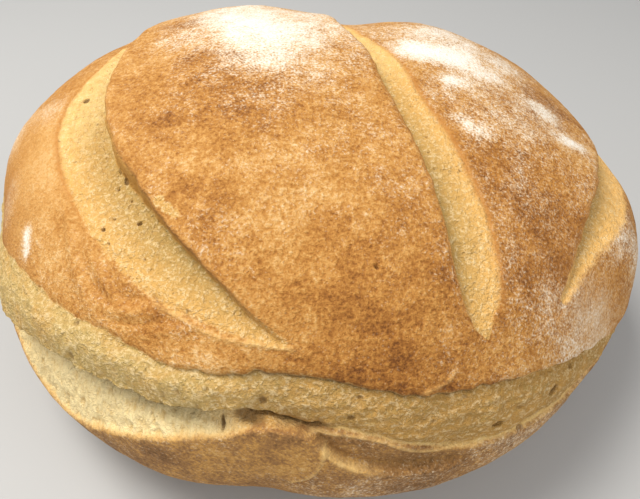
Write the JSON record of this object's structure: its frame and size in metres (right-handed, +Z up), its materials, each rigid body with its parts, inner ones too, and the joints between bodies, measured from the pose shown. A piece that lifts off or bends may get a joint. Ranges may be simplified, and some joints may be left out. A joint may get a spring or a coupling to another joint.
{
  "type": "boule loaf",
  "caption": "Large round rustic loaf with a floured brown crust, long curved slashes across its dome and a torn burst round its side, resting on a flat underside.",
  "frame": {"origin": "centre of the loaf's box in plan, on the plane that it rests on", "axes": "+Z up, +X to the right along the loaf's widest way, -Y to the front, where the side burst is widest"},
  "size_m": [0.2696, 0.2596, 0.1337],
  "materials": {
    "crust": "matt floured bread crust"
  },
  "bodies": {
    "root": {"boule": "crust"}
  },
  "joints": []
}
